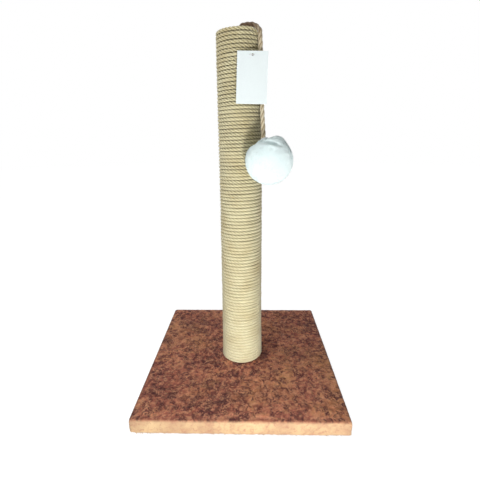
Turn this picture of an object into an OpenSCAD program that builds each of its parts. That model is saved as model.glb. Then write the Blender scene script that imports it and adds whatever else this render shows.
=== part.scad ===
// Cat scratching post: a plush-covered square base, a tube wound with sisal rope,
// and a plush ball on a rope that hangs from the top. Millimetres, +Z up,
// origin at the centre of the underside, the camera side of the photo towards -Y.

/* [Base] */
// Side length of the square base over its plush
base_w = 350; // [280:1:420]
// Thickness of the panel inside the base
board_t = 18; // [15:0.5:25]
// Thickness of the plush, backing and pile together
cover_t = 4; // [3:0.5:5]
// Radius of the wrapped edges and corners
wrap_r = 4; // [2:0.5:4]
// Width of the plush margin turned under the panel
hem_w = 34; // [24:1:50]
// Gap left where two turned-under margins meet at a corner
mitre_gap = 0.6; // [0.2:0.1:1.5]

/* [Post] */
// Height of the post above the base
post_h = 594; // [450:1:700]
// Outer diameter of the paper tube
tube_d = 64; // [60:0.5:76]
// Wall of the paper tube
tube_wall = 3; // [2:0.5:4]
// Diameter of the sisal rope wound on the tube
rope_d = 6; // [5:0.25:7]
// Gap between neighbouring turns of the winding
turn_gap = 0.06; // [0:0.01:0.2]
// Turns at the top that are drawn as one unbroken tube
wound_turns = 24; // [4:1:24]
// Direction of the rope's upper end, from +X
wind_turn = -55; // [-70:1:-54]
// How far the last turn stands above the rim of the tube
rim_cover = 2; // [0:0.5:2.5]
// Depth of the grooves that stand for the turns below them
groove_depth = 1.2; // [0.4:0.1:1.8]

/* [Plugs and bolt] */
// Thickness of the wooden plug at the foot of the tube
foot_plug_t = 20; // [16:1:26]
// Thickness of the wooden plug at the head of the tube
head_plug_t = 15; // [12:1:20]
// How far the head plug sits below the rim of the tube
head_plug_drop = 1; // [0:0.5:4]
// Gap between a plug and the tube round it
plug_gap = 0.1; // [0.05:0.05:0.3]
// Diameter of the bolt that holds the post
bolt_d = 8; // [6:1:10]
// Length of the bolt under its head
bolt_len = 40; // [38:1:44]
// Width of the bolt head across its flats
bolt_flats = 13; // [12:0.5:15]
// Height of the bolt head
bolt_head_h = 5.3; // [4:0.1:5.5]
// Outer diameter of the washer
washer_d = 24; // [20:0.5:26]
// Thickness of the washer
washer_t = 1.6; // [1:0.1:2]
// Diameter of the recess for the bolt head
recess_d = 28; // [27:0.5:34]
// Depth of the recess for the bolt head
recess_depth = 8; // [7.5:0.5:10]
// Diameter of the flange of the tee nut
nut_flange_d = 22; // [18:0.5:24]
// Thickness of the flange of the tee nut
nut_flange_t = 1.5; // [1:0.1:2]
// Outer diameter of the barrel of the tee nut
nut_barrel_d = 10.5; // [10.5:0.1:12]
// Length of the barrel of the tee nut
nut_barrel_h = 9; // [7:0.5:12]

/* [Fasteners] */
// Diameter of the brads and nails
nail_d = 1.6; // [1.2:0.1:2]
// Length of a brad through the tube into a plug
brad_len = 14; // [10:0.5:18]
// Brads round each plug
brads_per_plug = 4; // [3:1:8]
// Length of a nail through the end of the rope
nail_len = 18; // [14:0.5:22]
// Diameter of the head of a rope nail
nail_head_d = 4; // [3:0.1:5]
// Thickness of the head of a rope nail
nail_head_t = 0.8; // [0.5:0.1:1.2]
// Distance between hem staples
staple_pitch = 52; // [35:1:70]
// Width of the crown of a hem staple
staple_w = 10; // [8:0.5:12]
// Length of the legs of a hem staple
staple_leg = 9; // [7:0.5:12]
// Thickness of the wire of a hem staple
staple_wire = 1; // [0.6:0.1:1.2]

/* [Toy] */
// Diameter of the rope that the ball hangs on
toy_rope_d = 7; // [6:0.25:8]
// Diameter of the plush ball
ball_d = 79; // [70:0.5:85]
// How far the centre of the ball hangs below the top of the post
ball_drop = 201; // [196:0.5:206]
// Direction of the ball from the post, from +X
ball_turn = -52.2; // [-54:0.1:-50]
// Lean of the ball's neck from upright
neck_lean = 18; // [16:0.5:20]
// Direction in which the neck leans, from +X
neck_turn = 134; // [130:1:138]
// Thickness of the plush of the ball, backing and pile together
fur_t = 6; // [4:0.5:8]
// Gap between the ball and the post it hangs against
ball_gap = 0.4; // [0.3:0.1:1]
// Diameter of the knots at the ends of the toy's rope
knot_d = 14; // [12:0.5:16]
// Height of the knots
knot_h = 12; // [10:0.5:14]
// Diameter of the thread tied round the neck of the ball
tie_d = 1.2; // [0.8:0.1:1.6]

/* [Tag] */
// Width of the card tag
tag_w = 48; // [40:1:56]
// Height of the card tag
tag_h = 80; // [70:1:90]
// Thickness of the card
tag_t = 0.5; // [0.3:0.1:0.8]
// Diameter of the punched hole
tag_hole_d = 4; // [3:0.5:5]
// Distance of the hole's centre from the top edge of the card
tag_hole_edge = 6; // [5:0.5:8]
// Tilt that brings the foot of the card forward
tag_tilt = 9.7; // [8:0.1:11]
// Turn of the card in its own plane
tag_lean = 1.8; // [0:0.1:3]
// Diameter of the plastic filament of the tagging pin
filament_d = 0.9; // [0.6:0.1:1.2]
// Length of the cross bars of the tagging pin
cross_bar_len = 9; // [7:0.5:10]
// Diameter of the cross bars of the tagging pin
cross_bar_d = 1.3; // [1:0.1:1.6]

/* [Hidden] */
$fn = 96;

// Overrun of every cut through a face
cut_over = 1;
// Clearance round the bolt, and of a hole round its rope
bolt_gap = 0.25;
rope_gap = 0.4;
// Running gap between parts that move past each other
run_gap = 0.3;

base_t = board_t + 2 * cover_t;
board_w = base_w - 2 * cover_t;
post_top = base_t + post_h;
tube_r = tube_d / 2;
bore_r = tube_r - tube_wall;
plug_r = bore_r - plug_gap;
head_plug_top = post_top - head_plug_drop;

// The winding: rings of points on a helix of round rope, 24 rings a turn and 6 sides
turn_rings = 24;
rope_sides = 6;
pitch = rope_d + turn_gap;
all_turns = floor(post_h / pitch);
glue_gap = 0.05;
wind_r = (tube_r + glue_gap) / cos(180 / turn_rings) + rope_d / 2;
rope_out_r = wind_r + rope_d / 2;
wind_top = post_top + rim_cover - rope_d / 2;
wind_foot = wind_top - wound_turns * pitch;
sleeve_top = wind_foot - rope_d / 2 - run_gap;
sleeve_r = tube_r + glue_gap + rope_d;
sleeve_turns = floor((sleeve_top - base_t) / pitch);

// Where the ball leans on the winding, and where the toy's rope passes the rim, at the top's height
wall_at = [rope_out_r * cos(ball_turn), rope_out_r * sin(ball_turn), post_top];
rim_from_wall = [10.3, 4.7, 0];
rim_at = wall_at + rim_from_wall;

// Route of the toy's rope, chosen by hand: up out of the head plug, over the rim, down to the ball
rise_shares = [0, 0, 0, 0.01, 0.05, 0.13, 0.24, 0.385, 0.53, 0.665, 0.785, 0.865, 0.925, 0.972, 1, 1];
rise_heights = [
    -head_plug_drop - head_plug_t - run_gap,
    -9, -1, 4, 8.5, 11, 12, 12, 11, 9, 6.2, 3.6, 0.9, -1.8, -4, -6.2
];
route_top = [
    for (i = [0 : len(rise_shares) - 1])
        [rise_shares[i] * rim_at[0], rise_shares[i] * rim_at[1], post_top + rise_heights[i]]
];
// Each stretch below it, measured from the point beside the rim
upper_offsets = [
    [0, 0, -10], [0.5, -2.3, -23], [1, -4.9, -38], [1.6, -7.8, -54],
    [2.2, -10.6, -70], [2.8, -13.4, -86], [3.4, -16.2, -102], [4, -19.2, -119]
];
lower_offsets = [[4.2, -19.9, -123], [4.7, -22.4, -137], [5.2, -24.7, -150], [5.5, -26.4, -160]];
rope_facets = 10;
// Sizes of the domed end of a hanging stretch, as shares of its radius
dome_back_shares = [0.94, 0.77, 0.42];
dome_radius_shares = [0.34, 0.64, 0.91];

// The ball, placed against the post, and the way its neck points
ball_r = ball_d / 2;
ball_out = rope_out_r + ball_gap + ball_r;
ball_at = [ball_out * cos(ball_turn), ball_out * sin(ball_turn), post_top - ball_drop];
neck_way = [sin(neck_lean) * cos(neck_turn), sin(neck_lean) * sin(neck_turn), cos(neck_lean)];
neck_r = toy_rope_d / 2 + rope_gap;
collar_wall = 1;
collar_drop = 1.5;
collar_top = ball_r - collar_drop;
collar_foot = ball_r - fur_t;
knot_top = ball_r - fur_t - 2 * run_gap;

// The two swinging stretches, the lower one ending on the knot inside the ball
neck_heights = [5.4, 2.8, 0.1];
route_upper = [for (p = upper_offsets) rim_at + p];
route_lower = concat(
    [for (p = lower_offsets) rim_at + p],
    [for (h = neck_heights) ball_at + neck_way * (knot_top + h)]
);

// The tag's hole, and where its pin goes through the toy's rope
tag_from_wall = [-1.5, -11.7, -41.2];
tag_at = wall_at + tag_from_wall;
pin_at = route_upper[2];

function unit(v) = v / norm(v);

// Direction of a path at point i, from its neighbours
function heading(path, i) =
    unit(path[min(i + 1, len(path) - 1)] - path[max(i - 1, 0)]);

// A ring of points round p, square to direction t, its first point towards t x ref
function ring(p, t, r, sides, ref) =
    let (a = unit(cross(t, ref)), b = cross(t, a))
    [for (k = [0 : sides - 1]) p + r * (cos(360 * k / sides) * a + sin(360 * k / sides) * b)];

// A closed solid through a list of rings, its side faces split into triangles
module skin(rings) {
    n = len(rings);
    m = len(rings[0]);
    points = [for (loop = rings) for (p = loop) p];
    sides = [
        for (i = [0 : n - 2]) for (k = [0 : m - 1])
            let (a = i * m + k, b = i * m + (k + 1) % m)
            each [[a, b, b + m], [a, b + m, a + m]]
    ];
    foot = [for (k = [1 : m - 2]) [0, k + 1, k]];
    head = [for (k = [1 : m - 2]) let (s = (n - 1) * m) [s, s + k, s + k + 1]];
    polyhedron(points = points, faces = concat(sides, foot, head), convexity = 10);
}

// A round tube along a path, one ring at each point
module tube(path, r, sides, ref) {
    skin([for (i = [0 : len(path) - 1]) ring(path[i], heading(path, i), r, sides, ref)]);
}

// A tube whose first end is a dome centred on the first point, so that it can swing there
module swinging_tube(path, r, sides, ref) {
    t = unit(path[1] - path[0]);
    dome = [
        for (i = [0 : len(dome_back_shares) - 1])
            ring(path[0] - t * r * dome_back_shares[i], t, r * dome_radius_shares[i], sides, ref)
    ];
    body = [for (i = [0 : len(path) - 1]) ring(path[i], heading(path, i), r, sides, ref)];
    skin(concat(dome, body));
}

// Across the plane in which the toy's rope runs, so that its rings never twist
rope_ref = [sin(37), cos(37), 0];

// Outside of the wrapped base from the floor to its top, every edge rounded
module wrapped_base() {
    steps = 5;
    arc = [for (i = [0 : steps]) 90 * i / steps];
    profile = concat(
        [[0, 0]],
        [for (a = arc) [wrap_r * sin(a), wrap_r * (1 - cos(a))]],
        [for (a = arc) [wrap_r * cos(a), base_t - wrap_r * (1 - sin(a))]],
        [[0, base_t]]
    );
    inset = base_w / 2 - wrap_r;
    hull()
        for (x = [-inset, inset]) for (y = [-inset, inset])
            translate([x, y, 0]) rotate_extrude($fn = 32) polygon(profile);
}

// The panel, drilled for the bolt and recessed for its head
module base_board() {
    color("#c9a878")
    difference() {
        translate([-board_w / 2, -board_w / 2, cover_t]) cube([board_w, board_w, board_t]);
        translate([0, 0, cover_t - cut_over])
            cylinder(d = bolt_d + 2 * bolt_gap, h = board_t + 2 * cut_over);
        translate([0, 0, cover_t - cut_over])
            cylinder(d = recess_d, h = recess_depth + cut_over);
    }
}

// One sheet of plush over the top and the sides, its margins turned under and mitred
module base_cover() {
    opening = base_w - 2 * hem_w;
    slit = (board_w / 2 - opening / 2) * sqrt(2);
    color("#7d4a38")
    difference() {
        wrapped_base();
        translate([-board_w / 2, -board_w / 2, cover_t]) cube([board_w, board_w, board_t]);
        translate([-opening / 2, -opening / 2, -cut_over])
            cube([opening, opening, cover_t + 2 * cut_over]);
        for (turn = [45 : 90 : 315]) rotate([0, 0, turn])
            translate([opening / 2 * sqrt(2) - cut_over, -mitre_gap / 2, -cut_over])
                cube([slit + cut_over, mitre_gap, cover_t + 2 * cut_over]);
        translate([0, 0, cover_t])
            cylinder(d = bolt_d + 2 * bolt_gap, h = board_t + cover_t + cut_over);
    }
}

// One staple, its crown pressed into the pile and its legs in the panel
module staple() {
    crown_z = staple_wire;
    translate([-staple_w / 2, -staple_wire / 2, crown_z])
        cube([staple_w, staple_wire, staple_wire]);
    for (x = [-staple_w / 2, staple_w / 2 - staple_wire])
        translate([x, -staple_wire / 2, crown_z])
            cube([staple_wire, staple_wire, staple_leg]);
}

// The staples all round the hem
module hem_staples() {
    row = base_w - 2 * hem_w - staple_w;
    count = floor(row / staple_pitch) + 1;
    start = -(count - 1) * staple_pitch / 2;
    inset = base_w / 2 - cover_t - (hem_w - cover_t) / 2;
    color("#b9bcc0")
    for (side = [0 : 3]) rotate([0, 0, side * 90])
        for (i = [0 : count - 1])
            translate([start + i * staple_pitch, -inset, 0]) staple();
}

// Height of the washer's seat in the recess of the panel
washer_top = cover_t + recess_depth;
bolt_seat = washer_top - washer_t;

// Hexagon bolt, head down in the recess
module post_bolt() {
    chamfer = bolt_d / 8;
    color("#aeb2b8")
    union() {
        translate([0, 0, bolt_seat - bolt_head_h])
            cylinder(d = bolt_flats / cos(30), h = bolt_head_h, $fn = 6);
        translate([0, 0, bolt_seat]) cylinder(d = bolt_d, h = bolt_len - chamfer);
        translate([0, 0, bolt_seat + bolt_len - chamfer])
            cylinder(d1 = bolt_d, d2 = bolt_d - 2 * chamfer, h = chamfer);
    }
}

module bolt_washer() {
    color("#b8bcc2")
    difference() {
        translate([0, 0, bolt_seat]) cylinder(d = washer_d, h = washer_t);
        translate([0, 0, bolt_seat - cut_over])
            cylinder(d = bolt_d + 2 * bolt_gap, h = washer_t + 2 * cut_over);
    }
}

foot_plug_top = base_t + foot_plug_t;

// Tee nut: a barrel down in the plug, a flange on top of it and four prongs into the wood
module tee_nut() {
    prong_w = nut_flange_d / 10;
    prong_r = nut_flange_d / 2 - prong_w / 2;
    prong_h = nut_barrel_h * 0.75;
    color("#b0b4ba")
    difference() {
        union() {
            translate([0, 0, foot_plug_top]) cylinder(d = nut_flange_d, h = nut_flange_t);
            translate([0, 0, foot_plug_top - nut_barrel_h])
                cylinder(d = nut_barrel_d, h = nut_barrel_h + nut_flange_t / 2);
            for (turn = [45 : 90 : 315]) rotate([0, 0, turn])
                translate([prong_r, 0, foot_plug_top + nut_flange_t / 2]) rotate([90, 0, 0])
                    linear_extrude(prong_w / 2, center = true)
                        polygon([[-prong_w / 2, 0], [prong_w / 2, 0], [0, -prong_h]]);
        }
        translate([0, 0, foot_plug_top - nut_barrel_h - cut_over])
            cylinder(d = bolt_d + 2 * bolt_gap, h = nut_barrel_h + nut_flange_t + 2 * cut_over);
    }
}

// Spiral-wound paper tube
module core_tube() {
    color("#b08d62")
    translate([0, 0, base_t])
    difference() {
        cylinder(r = tube_r, h = post_h);
        translate([0, 0, -cut_over]) cylinder(r = bore_r, h = post_h + 2 * cut_over);
    }
}

module foot_plug() {
    color("#d2b58a")
    difference() {
        translate([0, 0, base_t]) cylinder(r = plug_r, h = foot_plug_t);
        translate([0, 0, base_t - cut_over])
            cylinder(d = nut_barrel_d + 2 * bolt_gap, h = foot_plug_t + 2 * cut_over);
    }
}

// The plug at the head, bored for the toy's rope
module head_plug() {
    color("#d2b58a")
    difference() {
        translate([0, 0, head_plug_top - head_plug_t]) cylinder(r = plug_r, h = head_plug_t);
        translate([0, 0, head_plug_top - head_plug_t - cut_over])
            cylinder(r = neck_r, h = head_plug_t + 2 * cut_over);
    }
}

// Headless brads through the tube into each plug
module plug_brads() {
    color("#9a9da2")
    for (z = [base_t + foot_plug_t / 2, head_plug_top - head_plug_t / 2])
        for (i = [0 : brads_per_plug - 1])
            rotate([0, 0, 45 + 360 * i / brads_per_plug])
                translate([tube_r - brad_len, 0, z]) rotate([0, 90, 0])
                    cylinder(d = nail_d, h = brad_len, $fn = 16);
}

// Points along the wound rope: a straight lead in, the helix, a straight lead out
function wind_point(a) =
    [wind_r * cos(a + wind_turn), wind_r * sin(a + wind_turn), wind_foot + pitch * a / 360];
function wind_heading(a) =
    unit([-wind_r * sin(a + wind_turn), wind_r * cos(a + wind_turn), pitch / 360 * 180 / PI]);
wind_steps = wound_turns * turn_rings;
wind_path = concat(
    [wind_point(0) - wind_heading(0) * rope_d],
    [for (i = [0 : wind_steps]) wind_point(360 * i / turn_rings)],
    [wind_point(360 * wound_turns) + wind_heading(360 * wound_turns) * rope_d]
);
wind_rings = [
    for (i = [0 : len(wind_path) - 1])
        ring(wind_path[i], heading(wind_path, i), rope_d / 2, rope_sides, [0, 0, 1])
];

// Least distance between the points of one turn and those of the next
function least_gap() = min([
    for (i = [0 : len(wind_rings) - 1])
        for (j = [i + turn_rings - 1 : min(i + turn_rings + 1, len(wind_rings) - 1)])
            for (p = wind_rings[i]) for (q = wind_rings[j]) norm(p - q)
]);

// The upper turns of the rope as one unbroken tube
module rope_winding() {
    echo(winding_turns = wound_turns, winding_least_gap = least_gap());
    color("#d8c79c") skin(wind_rings);
}

// The turns below them, a sleeve with one groove between each turn and the next
module rope_sleeve() {
    crest_share = 0.22;
    lobes = [
        for (i = [0 : sleeve_turns - 1])
            let (z = base_t + i * pitch)
            each [
                [sleeve_r - groove_depth, z],
                [sleeve_r, z + crest_share * pitch],
                [sleeve_r, z + (1 - crest_share) * pitch]
            ]
    ];
    lead = base_t + sleeve_turns * pitch;
    color("#dccb9f")
    rotate_extrude()
        polygon(concat(
            [[tube_r + glue_gap, base_t]], lobes,
            [[sleeve_r - groove_depth, lead], [sleeve_r - groove_depth, sleeve_top],
             [tube_r + glue_gap, sleeve_top]]
        ));
}

// A nail through each end of the rope, the lower one at the back, the heads sunk between strands
module rope_end_nails() {
    back_turn = 90;
    head_sink = 2.8;
    ends = [[back_turn, base_t + pitch / 2], [wind_turn, post_top - rope_d / 2]];
    color("#9a9da2")
    for (e = ends) rotate([0, 0, e[0]])
        translate([rope_out_r - head_sink - nail_len, 0, e[1]]) rotate([0, 90, 0])
            union() {
                cylinder(d = nail_d, h = nail_len, $fn = 16);
                translate([0, 0, nail_len - nail_head_t])
                    cylinder(d = nail_head_d, h = nail_head_t, $fn = 24);
            }
}

// A rope knot, lying along +Z with its face at z = 0 towards the rope
module knot() {
    lobe = knot_h / 4;
    rotate_extrude($fn = 48)
        polygon([
            [0, 0], [knot_d / 2 - lobe, 0], [knot_d / 2 - lobe / 3, -lobe / 2],
            [knot_d / 2, -lobe], [knot_d / 2 - lobe / 4, -2 * lobe],
            [knot_d / 2, -3 * lobe], [knot_d / 2 - lobe, -knot_h], [0, -knot_h]
        ]);
}

// The knot that holds the toy's rope under the head plug
module head_knot() {
    color("#bfa878") translate(route_top[0]) knot();
}

module toy_rope_top() {
    color("#c8b285") tube(route_top, toy_rope_d / 2, rope_facets, rope_ref);
}

module toy_rope_upper() {
    color("#c8b285") swinging_tube(route_upper, toy_rope_d / 2, rope_facets, rope_ref);
}

module toy_rope_lower() {
    color("#c8b285") swinging_tube(route_lower, toy_rope_d / 2, rope_facets, rope_ref);
}

// Puts a piece of the ball in place, its neck along +Z before
module at_ball() {
    translate(ball_at) rotate([0, neck_lean, neck_turn]) children();
}

// The plush of the ball, gathered into a dimple and a collar at the neck
module ball_cover() {
    steps = 24;
    open = 26;
    inner_r = ball_r - fur_t;
    mouth = asin(neck_r / inner_r);
    outer = [
        for (i = [0 : steps])
            let (a = open + (180 - open) * i / steps) [ball_r * sin(a), ball_r * cos(a)]
    ];
    inner = [
        for (i = [0 : steps])
            let (a = 180 - (180 - mouth) * i / steps) [inner_r * sin(a), inner_r * cos(a)]
    ];
    color("#eef1f4")
    at_ball() rotate_extrude()
        polygon(concat(
            inner,
            [[neck_r, collar_top], [neck_r + collar_wall, collar_top],
             [neck_r + collar_wall, collar_foot + collar_wall]],
            [[ball_r * sin(open) * 0.72, ball_r * cos(open) - collar_wall / 2]],
            outer
        ));
}

// Polyester filling, with the socket that the knot sits in
module ball_stuffing() {
    stuffing_r = ball_r - fur_t - rope_gap;
    color("#f4f4f2")
    at_ball() difference() {
        sphere(r = stuffing_r);
        translate([0, 0, knot_top - knot_h - run_gap])
            cylinder(d = knot_d + 2 * rope_gap, h = stuffing_r);
    }
}

// Thread tied round the collar
module ball_tie() {
    color("#e3e6ea")
    at_ball() translate([0, 0, collar_top - tie_d])
        rotate_extrude($fn = 48)
            translate([neck_r + collar_wall + glue_gap + tie_d / 2, 0]) circle(d = tie_d, $fn = 24);
}

// The knot inside the ball
module ball_knot() {
    color("#bfa878") at_ball() translate([0, 0, knot_top]) knot();
}

// Puts a piece of the tag in place, its hole on the origin before
module at_tag() {
    translate(tag_at) rotate([-tag_tilt, 0, 0]) rotate([0, tag_lean, 0]) children();
}

// The bare card with its punched hole
module hang_tag() {
    color("#f1f5f8")
    at_tag() difference() {
        translate([-tag_w / 2, -tag_t / 2, tag_hole_edge - tag_h]) cube([tag_w, tag_t, tag_h]);
        rotate([90, 0, 0])
            cylinder(d = tag_hole_d, h = tag_t + 2 * cut_over, center = true, $fn = 48);
    }
}

// Plastic tagging pin: a cross bar level before the card, a filament through the hole and
// the strands of the rope, and an upright cross bar behind the rope
module tag_pin() {
    run = pin_at - tag_at;
    e = unit(run);
    front = tag_t / 2 + run_gap + cross_bar_d / 2;
    start = tag_at - e * front / max(abs(e[1]), 0.5);
    back = norm(pin_at - start) + toy_rope_d / 2 + run_gap + cross_bar_d / 2;
    lift = acos(e[2]);
    turn = atan2(e[1], e[0]);
    color("#e8eef2")
    union() {
        translate(start) rotate([0, lift, turn]) cylinder(d = filament_d, h = back, $fn = 16);
        translate(start) rotate([-tag_tilt, 0, 0]) rotate([0, 90 + tag_lean, 0])
            cylinder(d = cross_bar_d, h = cross_bar_len, center = true, $fn = 16);
        translate(start + e * back) rotate([-tag_tilt, 0, 0])
            cylinder(d = cross_bar_d, h = cross_bar_len, center = true, $fn = 16);
    }
}

base_board();
base_cover();
hem_staples();
post_bolt();
bolt_washer();
tee_nut();
core_tube();
foot_plug();
head_plug();
plug_brads();
rope_winding();
rope_sleeve();
rope_end_nails();
head_knot();
toy_rope_top();
toy_rope_upper();
toy_rope_lower();
ball_cover();
ball_stuffing();
ball_tie();
ball_knot();
hang_tag();
tag_pin();
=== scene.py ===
"""Looks of a cat scratching post: plush base, sisal-wound post, plush ball on a rope, bare card tag.

Metres, +Z up, origin at the centre of the underside, the photographed side towards -Y.
"""

import bpy
import numpy as np
from mathutils import Matrix

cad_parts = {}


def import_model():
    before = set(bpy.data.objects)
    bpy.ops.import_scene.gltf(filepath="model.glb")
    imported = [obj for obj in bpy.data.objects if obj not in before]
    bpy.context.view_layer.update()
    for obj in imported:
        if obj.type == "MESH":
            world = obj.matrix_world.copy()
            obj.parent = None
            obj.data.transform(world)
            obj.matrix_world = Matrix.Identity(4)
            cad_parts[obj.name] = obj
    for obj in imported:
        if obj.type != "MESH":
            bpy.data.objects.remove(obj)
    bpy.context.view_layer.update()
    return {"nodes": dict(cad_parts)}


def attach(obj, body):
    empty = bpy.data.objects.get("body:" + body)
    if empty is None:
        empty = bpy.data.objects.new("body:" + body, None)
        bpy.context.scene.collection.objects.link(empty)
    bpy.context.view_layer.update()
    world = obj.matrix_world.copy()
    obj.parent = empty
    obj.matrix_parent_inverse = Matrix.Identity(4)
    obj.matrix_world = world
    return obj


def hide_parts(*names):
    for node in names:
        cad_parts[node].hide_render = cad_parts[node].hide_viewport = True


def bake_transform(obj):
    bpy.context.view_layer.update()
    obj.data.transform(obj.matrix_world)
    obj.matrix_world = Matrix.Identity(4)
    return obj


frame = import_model()
MM = 0.001


# Camera

SENSOR_MM = 36.0
FOCAL_PX, PICTURE_PX, SHIFT_PX = 333.12, 500.0, 26.52
CAMERA_AT = (0.01515, -0.60381, 0.45334)


def placing(side, top, back, place):
    """The matrix that turns an object's X, Y and Z to side, top and back and moves it to the place."""
    return Matrix((*zip(side, top, back, place), (0, 0, 0, 1)))


def aim_camera():
    """A pinhole 453 mm up and 604 mm in front, turned 1.5, pitched down 14.2 and rolled half a degree."""
    yaw, pitch, roll = -0.027, 0.2486, -0.0093
    right = np.array((np.cos(yaw), -np.sin(yaw), 0.0))
    ahead = np.array((np.sin(yaw), np.cos(yaw), 0.0))
    up = np.array((0.0, 0.0, 1.0))
    view = ahead * np.cos(pitch) - up * np.sin(pitch)
    head = ahead * np.sin(pitch) + up * np.cos(pitch)
    side = right * np.cos(roll) + head * np.sin(roll)
    top = head * np.cos(roll) - right * np.sin(roll)
    data = bpy.data.cameras.new("camera")
    data.sensor_width = SENSOR_MM
    data.lens = FOCAL_PX * SENSOR_MM / PICTURE_PX
    data.shift_y = -SHIFT_PX / PICTURE_PX
    data.clip_start = 0.01
    camera = bpy.data.objects.new("camera", data)
    bpy.context.scene.collection.objects.link(camera)
    camera.matrix_world = placing(side, top, -view, CAMERA_AT)
    bpy.context.scene.camera = camera


aim_camera()


# Mesh tools

def set_values(mesh, key, values):
    """One float for each point of the mesh, under the attribute's name."""
    mesh.attributes.new(key, "FLOAT", "POINT").data.foreach_set("value", np.asarray(values, np.float32))


def make_mesh(name, points, faces, uv=None, values=None):
    """A smooth mesh object from arrays: points (n, 3) in metres and faces (m, 3 or 4) of point numbers.

    faces may be a list of such arrays; uv gives one (m, corners, 2) array for each, and values
    holds one float per point under each attribute's name.
    """
    faces = faces if isinstance(faces, list) else [faces]
    faces = [np.asarray(f, np.int32) for f in faces if len(f)]
    mesh = bpy.data.meshes.new(name)
    mesh.vertices.add(len(points))
    mesh.vertices.foreach_set("co", np.asarray(points, np.float32).ravel())
    corners = np.concatenate([f.ravel() for f in faces])
    counts = np.concatenate([np.full(len(f), f.shape[1], np.int32) for f in faces])
    mesh.loops.add(len(corners))
    mesh.loops.foreach_set("vertex_index", corners)
    mesh.polygons.add(len(counts))
    starts = np.concatenate(([0], np.cumsum(counts)[:-1])).astype(np.int32)
    mesh.polygons.foreach_set("loop_start", starts)
    mesh.polygons.foreach_set("use_smooth", np.ones(len(counts), bool))
    if uv is not None:
        layer = mesh.uv_layers.new(name="UVMap")
        flat = np.concatenate([np.asarray(u, np.float32).reshape(-1, 2) for u in uv])
        layer.data.foreach_set("uv", flat.ravel())
    for key, array in (values or {}).items():
        set_values(mesh, key, array)
    mesh.update(calc_edges=True)
    piece = bpy.data.objects.new(name, mesh)
    bpy.context.scene.collection.objects.link(piece)
    return piece


def grid_faces(rows, columns, wrap):
    """Quads of a grid of rows by columns points; with wrap the last column joins the first."""
    i, j = np.meshgrid(np.arange(rows - 1), np.arange(columns if wrap else columns - 1), indexing="ij")
    here, beside = i * columns + j, i * columns + (j + 1) % columns
    return np.stack((here, beside, beside + columns, here + columns), -1).reshape(-1, 4)


def fan(point, ring, after):
    """Triangles from one point to each point of a ring and the one after it."""
    return np.stack((np.full(len(ring), point), ring, after), 1)


def end_caps(rows, columns):
    """Fans that close both ends of a tube, to a first and a last middle point that follow its grid."""
    ring = np.arange(columns)
    after = np.roll(ring, -1)
    n, end = rows * columns, (rows - 1) * columns
    return np.vstack((fan(n, after, ring), fan(n + 1, end + ring, end + after)))


def flat_grid(u, v):
    """Two flat arrays that pair every u with every v, v running faster."""
    return (g.ravel() for g in np.meshgrid(u, v, indexing="ij"))


def unit(v):
    """Each row divided by its length."""
    return v / np.maximum(np.linalg.norm(v, axis=-1, keepdims=True), 1e-12)


def direction(theta, phi):
    """The unit vector at theta from +Z and phi round it: (sin t cos p, sin t sin p, cos t)."""
    return np.stack((np.sin(theta) * np.cos(phi), np.sin(theta) * np.sin(phi), np.cos(theta)), -1)


def level_direction(a):
    """The unit vector at the angle a from +X round +Z: (cos a, sin a, 0)."""
    return np.stack((np.cos(a), np.sin(a), 0 * a), 1)


def bell(x, centre, width):
    """A Gaussian, exp(-((x - centre) / width)^2): 1 at the centre and 1 / e at the width from it."""
    return np.exp(-((x - centre) / width) ** 2)


def noise(p, cell, seed):
    """Smooth noise from 0 to 1: random numbers on a lattice of the cell size, blended by 3t^2 - 2t^3."""
    table = np.random.default_rng(seed).random(8192)
    q = np.asarray(p) / cell
    base = np.floor(q).astype(np.int64)
    t = q - base
    t = t * t * (3 - 2 * t)
    total = np.zeros(len(q))
    for corner in np.ndindex(2, 2, 2):
        c = np.array(corner)
        n = base + c
        key = (n[:, 0] * 73856093) ^ (n[:, 1] * 19349663) ^ (n[:, 2] * 83492791)
        total += table[key & 8191] * np.prod(np.where(c, t, 1 - t), axis=1)
    return total


def line_noise(s, cell, seed):
    """Smooth noise from 0 to 1 along a line, at the lengths s."""
    return noise(np.stack((s, s * 0, s * 0), 1), cell, seed)


def lengths_along(line):
    """Length along a line from its first point to each of its points."""
    return np.concatenate(([0], np.cumsum(np.linalg.norm(np.diff(line, axis=0), axis=1))))


def smooth_path(points, step):
    """A Catmull-Rom curve through the points, sampled evenly at about the step, and its lengths.

    Between b and c, with a before and d after: half of 2 b + (c - a) t + (2 a - 5 b + 4 c - d) t^2
    + (3 b - a - 3 c + d) t^3, t from 0 to 1.
    """
    p = np.asarray(points, float)
    q = np.vstack((2 * p[0] - p[1], p, 2 * p[-1] - p[-2]))
    t = np.linspace(0, 1, 40, endpoint=False)[None, :, None]
    a, b, c, d = (q[i:len(q) - 3 + i, None, :] for i in range(4))
    square, cube = 2 * a - 5 * b + 4 * c - d, 3 * b - a - 3 * c + d
    curve = 0.5 * (2 * b + (c - a) * t + square * t ** 2 + cube * t ** 3)
    curve = np.vstack((curve.reshape(-1, 3), p[-1:]))
    s = lengths_along(curve)
    even = np.linspace(0, s[-1], int(round(s[-1] / step)) + 1)
    return np.stack([np.interp(even, s, curve[:, k]) for k in range(3)], 1), even


STRAND_ANGLES = np.radians((-60, -42, -21, 0, 21, 42))
STRAND_OUT, STRAND_R = 0.48, 0.52
RELIEF = 0.6


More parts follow.
